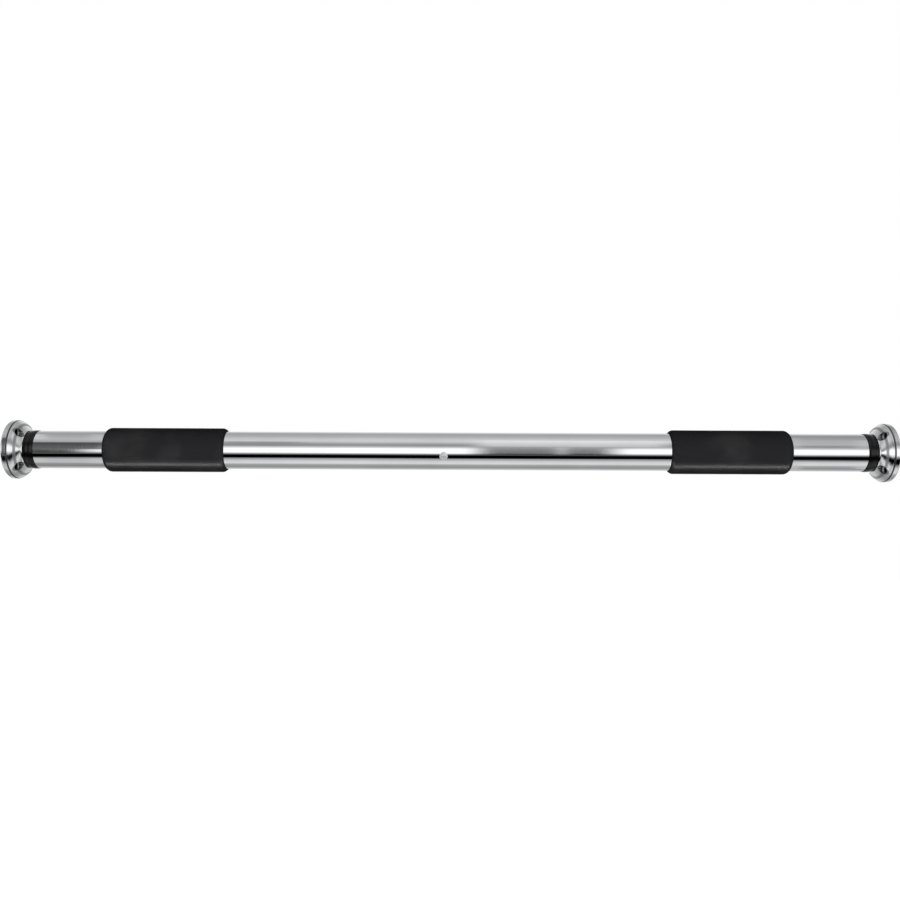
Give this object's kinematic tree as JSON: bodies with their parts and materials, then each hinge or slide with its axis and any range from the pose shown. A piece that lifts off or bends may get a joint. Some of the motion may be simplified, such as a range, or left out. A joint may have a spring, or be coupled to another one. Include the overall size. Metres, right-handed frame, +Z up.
{
  "type": "pull up bar",
  "caption": "Telescopic doorway pull-up bar: chromed steel tube with black foam grips, turned to lengthen it, between two screw-on jamb cups.",
  "frame": {"origin": "centre of the left cup's wall face, on the bar's axis", "axes": "+X along the bar to the right-hand jamb, -Y to the front, +Z up"},
  "size_m": [0.6563, 0.0438, 0.0438],
  "materials": {
    "tube_chrome": "polished chrome plate on steel tube",
    "cup_chrome": "chrome plate on a zinc casting, faint casting ripple",
    "collar_plastic": "black moulded plastic, semi-gloss",
    "slide_plastic": "natural slippery plastic",
    "grip_foam": "charcoal closed-cell foam, fine skin",
    "foot_rubber": "black moulded rubber",
    "bush_steel": "turned steel",
    "fastener_zinc": "bright zinc plate",
    "rivet_steel": "plated rivet",
    "nut_brass": "machined brass",
    "screw_steel": "oiled machined steel"
  },
  "bodies": {
    "left_mount": {"left_cup": "cup_chrome", "left_foot": "foot_rubber", "left_foot_bush": "bush_steel"},
    "outer": {"outer_tube": "tube_chrome", "left_end_plug": "collar_plastic", "guide_collar": "collar_plastic", "left_grip": "grip_foam", "right_grip": "grip_foam", "nut_block": "nut_brass", "nut_rivets": "rivet_steel", "left_swivel_bolt": "fastener_zinc", "left_thrust_washer": "fastener_zinc", "left_bolt_washer": "fastener_zinc", "left_bolt_nut": "fastener_zinc"},
    "inner": {"inner_tube": "tube_chrome", "slide_ring": "slide_plastic", "screw_plug": "screw_steel", "screw_pin": "fastener_zinc", "drive_screw": "screw_steel", "stop_washer": "fastener_zinc", "stop_nut": "fastener_zinc", "right_end_plug": "collar_plastic", "right_swivel_bolt": "fastener_zinc", "right_thrust_washer": "fastener_zinc", "right_bolt_washer": "fastener_zinc", "right_bolt_nut": "fastener_zinc"},
    "right_mount": {"right_cup": "cup_chrome", "right_foot": "foot_rubber", "right_foot_bush": "bush_steel"}
  },
  "joints": [
    {"name": "bar_twist", "type": "hinge", "parent": "left_mount", "child": "outer", "pos_m": [0, 0, 0], "axis": [-1, 0, 0], "range_deg": [0, 23760]},
    {"name": "tube_extend", "type": "slide", "parent": "left_mount", "child": "inner", "axis": [1, 0, 0], "range_m": [0, 0.198]},
    {"name": "right_foot_swivel", "type": "hinge", "parent": "inner", "child": "right_mount", "pos_m": [0.6563, 0, 0], "axis": [1, 0, 0], "continuous": true}
  ],
  "couplings": [
    {"joint": "tube_extend", "follows": "bar_twist", "m_per_rad": 0.00047746}
  ]
}
